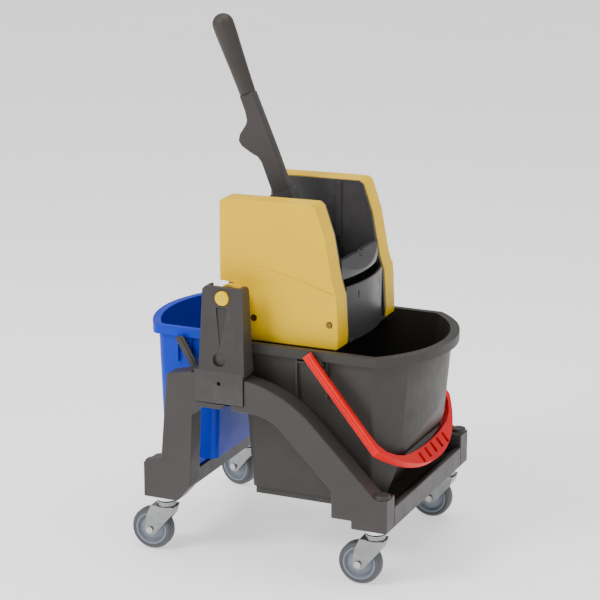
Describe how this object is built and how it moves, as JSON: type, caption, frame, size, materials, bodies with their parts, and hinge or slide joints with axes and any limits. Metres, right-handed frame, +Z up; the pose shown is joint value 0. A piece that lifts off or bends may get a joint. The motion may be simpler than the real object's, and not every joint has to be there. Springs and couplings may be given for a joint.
{
  "type": "double bucket mop trolley with press wringer",
  "caption": "Wheeled trolley with a large and a small bucket, two posts and a tilting lever press wringer, on swivel casters.",
  "frame": {"origin": "on the floor, under the middle of the bounding box", "axes": "+X towards the large bucket's round front, +Y to the far side, +Z up"},
  "size_m": [0.543, 0.4, 0.9153],
  "materials": {
    "chassis_plastic": "satin, lightly grained",
    "bucket_plastic": "satin",
    "yellow_plastic": "smooth, slight sheen",
    "blue_plastic": "smooth, slight sheen",
    "red_plastic": "smooth, slight sheen",
    "hopper_plastic": "satin",
    "grip_plastic": "matte",
    "nylon": "matte",
    "gear_plastic": "matte",
    "zinc": "zinc plated",
    "steel": "drawn",
    "brass_screw": "dull",
    "wheel_plastic": "smooth",
    "tread_rubber": "matte"
  },
  "bodies": {
    "chassis": {"side_frame_near": "chassis_plastic", "side_frame_far": "chassis_plastic", "front_rail": "chassis_plastic", "rear_tray": "chassis_plastic", "centre_tie": "chassis_plastic", "tie_bolts": "steel", "post_near": "chassis_plastic", "post_far": "chassis_plastic", "post_screws": "steel", "pivot_pin_near": "yellow_plastic", "pivot_pin_far": "yellow_plastic", "grey_bucket": "bucket_plastic", "race_near_rear": "zinc", "race_near_front": "zinc", "race_far_front": "zinc", "race_far_rear": "zinc"},
    "large_bail": {"red_bail": "red_plastic"},
    "small_bucket": {"blue_bucket": "blue_plastic"},
    "small_bail": {"blue_bail": "chassis_plastic"},
    "wringer": {"hopper": "hopper_plastic", "front_jaw": "hopper_plastic", "cover_near": "yellow_plastic", "cover_far": "yellow_plastic", "cover_screws": "brass_screw", "shaft_bushes": "nylon", "return_spring": "steel"},
    "lever": {"lever_shaft": "steel", "pinion_near": "gear_plastic", "pinion_far": "gear_plastic", "lever_hub": "chassis_plastic", "lever_bolt": "steel", "lever_arm": "chassis_plastic", "lever_grip": "grip_plastic"},
    "press": {"press_shaft": "steel", "sector_near": "gear_plastic", "sector_far": "gear_plastic", "press_plate": "hopper_plastic"},
    "swivel_near_rear": {"fork_near_rear": "zinc", "axle_near_rear": "steel"},
    "roll_near_rear": {"wheel_near_rear": "wheel_plastic", "tread_near_rear": "tread_rubber"},
    "swivel_near_front": {"fork_near_front": "zinc", "axle_near_front": "steel"},
    "roll_near_front": {"wheel_near_front": "wheel_plastic", "tread_near_front": "tread_rubber"},
    "swivel_far_front": {"fork_far_front": "zinc", "axle_far_front": "steel"},
    "roll_far_front": {"wheel_far_front": "wheel_plastic", "tread_far_front": "tread_rubber"},
    "swivel_far_rear": {"fork_far_rear": "zinc", "axle_far_rear": "steel"},
    "roll_far_rear": {"wheel_far_rear": "wheel_plastic", "tread_far_rear": "tread_rubber"}
  },
  "joints": [
    {"name": "swivel_near_rear_turn", "type": "hinge", "parent": "chassis", "child": "swivel_near_rear", "pos_m": [-0.1875, -0.169, 0.09], "axis": [0, 0, 1], "continuous": true},
    {"name": "wheel_near_rear_roll", "type": "hinge", "parent": "swivel_near_rear", "child": "roll_near_rear", "pos_m": [-0.21348, -0.16991, 0.0375], "axis": [-0.0349, 0.9994, 0], "continuous": true},
    {"name": "swivel_near_front_turn", "type": "hinge", "parent": "chassis", "child": "swivel_near_front", "pos_m": [0.2025, -0.169, 0.09], "axis": [0, 0, 1], "continuous": true},
    {"name": "wheel_near_front_roll", "type": "hinge", "parent": "swivel_near_front", "child": "roll_near_front", "pos_m": [0.17652, -0.16991, 0.0375], "axis": [-0.0349, 0.9994, 0], "continuous": true},
    {"name": "swivel_far_front_turn", "type": "hinge", "parent": "chassis", "child": "swivel_far_front", "pos_m": [0.2025, 0.169, 0.09], "axis": [0, 0, 1], "continuous": true},
    {"name": "wheel_far_front_roll", "type": "hinge", "parent": "swivel_far_front", "child": "roll_far_front", "pos_m": [0.17652, 0.16809, 0.0375], "axis": [-0.0349, 0.9994, 0], "continuous": true},
    {"name": "swivel_far_rear_turn", "type": "hinge", "parent": "chassis", "child": "swivel_far_rear", "pos_m": [-0.1875, 0.169, 0.09], "axis": [0, 0, 1], "continuous": true},
    {"name": "wheel_far_rear_roll", "type": "hinge", "parent": "swivel_far_rear", "child": "roll_far_rear", "pos_m": [-0.21261, 0.17573, 0.0375], "axis": [0.2588, 0.9659, 0], "continuous": true},
    {"name": "wringer_tilt", "type": "hinge", "parent": "chassis", "child": "wringer", "pos_m": [-0.0705, 0, 0.47], "axis": [0, 1, 0], "range_deg": [-60, 0]},
    {"name": "lever_swing", "type": "hinge", "parent": "wringer", "child": "lever", "pos_m": [-0.0225, 0, 0.567], "axis": [0, -1, 0], "range_deg": [0, 68], "stiffness_Nm_per_rad": 1.5, "springref_deg": -57.3},
    {"name": "press_swing", "type": "hinge", "parent": "wringer", "child": "press", "pos_m": [-0.01034, 0, 0.41749], "axis": [0, 1, 0], "range_deg": [0, 17]},
    {"name": "large_bail_swing", "type": "hinge", "parent": "chassis", "child": "large_bail", "pos_m": [0.0895, 0, 0.366], "axis": [0, -1, 0], "range_deg": [0, 130]},
    {"name": "small_bucket_lift", "type": "slide", "parent": "chassis", "child": "small_bucket", "axis": [0, 0, 1], "range_m": [0, 0.1]},
    {"name": "small_bail_swing", "type": "hinge", "parent": "small_bucket", "child": "small_bail", "pos_m": [-0.1765, 0, 0.366], "axis": [0, 1, 0], "range_deg": [-150, 0]}
  ],
  "couplings": [
    {"joint": "press_swing", "follows": "lever_swing", "ratio": 0.25}
  ]
}
